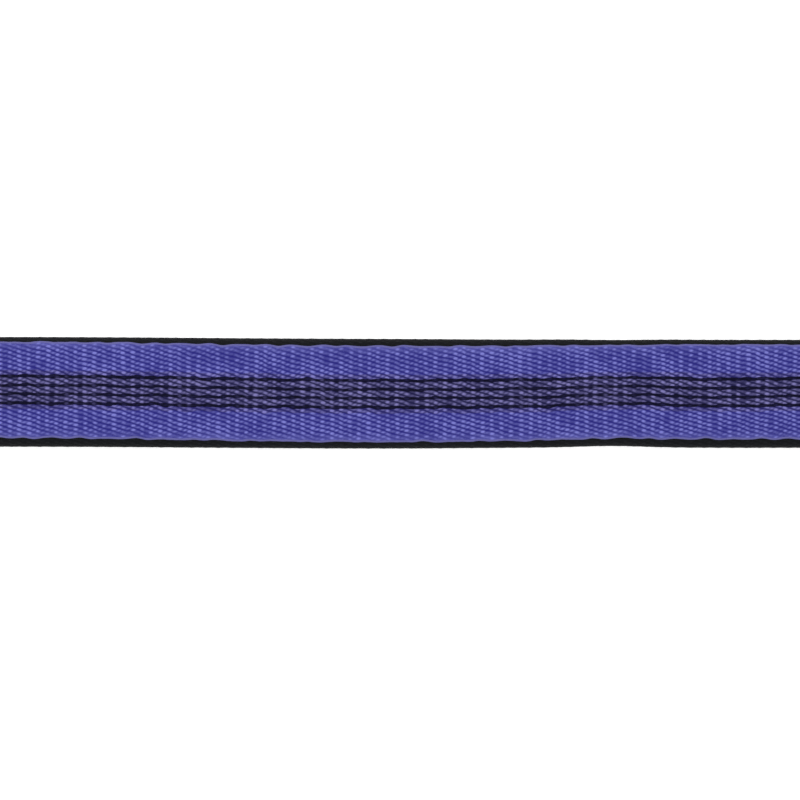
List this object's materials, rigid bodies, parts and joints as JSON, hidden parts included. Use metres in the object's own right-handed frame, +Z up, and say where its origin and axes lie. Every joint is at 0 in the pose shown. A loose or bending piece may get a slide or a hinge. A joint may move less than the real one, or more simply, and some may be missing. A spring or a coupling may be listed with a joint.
{
  "type": "round sling",
  "caption": "Endless textile round sling in a violet striped woven sleeve over a yarn core, laid straight with an open eye at each end.",
  "frame": {"origin": "on the floor under the middle of the sling's two stacked legs", "axes": "+X along the sling, towards the eye beside the label; +Y across its width; +Z up"},
  "size_m": [0.514, 0.0388, 0.034],
  "materials": {
    "sleeve_weave": "matte",
    "core_yarn": "satin",
    "tape": "satin",
    "sewing_thread": "satin",
    "label": "matte"
  },
  "bodies": {
    "middle": {"sleeve_lower_leg": "sleeve_weave", "sleeve_upper_leg": "sleeve_weave", "sleeve_tucked_end": "sleeve_weave", "sleeve_left_flex": "sleeve_weave", "sleeve_right_flex": "sleeve_weave", "core_turn_1": "core_yarn", "core_turn_2": "core_yarn", "core_turn_3": "core_yarn", "core_turn_4": "core_yarn", "core_turn_5": "core_yarn", "core_turn_6": "core_yarn", "core_turn_7": "core_yarn", "core_left_flex": "core_yarn", "core_right_flex": "core_yarn", "core_tape": "tape", "joint_stitching": "sewing_thread", "label_base": "label"},
    "left_eye": {"sleeve_left_eye": "sleeve_weave", "core_left_eye": "core_yarn"},
    "right_eye": {"sleeve_right_eye": "sleeve_weave", "core_right_eye": "core_yarn"},
    "label": {"label_flap": "label"}
  },
  "joints": [
    {"name": "left_eye_bend", "type": "hinge", "parent": "middle", "child": "left_eye", "pos_m": [-0.185, 0, 0.00765], "axis": [0, 1, 0], "range_deg": [0, 90], "deforming": ["sleeve_left_flex", "core_left_flex"]},
    {"name": "right_eye_bend", "type": "hinge", "parent": "middle", "child": "right_eye", "pos_m": [0.185, 0, 0.00765], "axis": [0, -1, 0], "range_deg": [0, 90], "deforming": ["sleeve_right_flex", "core_right_flex"]},
    {"name": "label_lift", "type": "hinge", "parent": "middle", "child": "label", "pos_m": [0.121, 0, 0.01625], "axis": [0, -1, 0], "range_deg": [0, 160]}
  ]
}
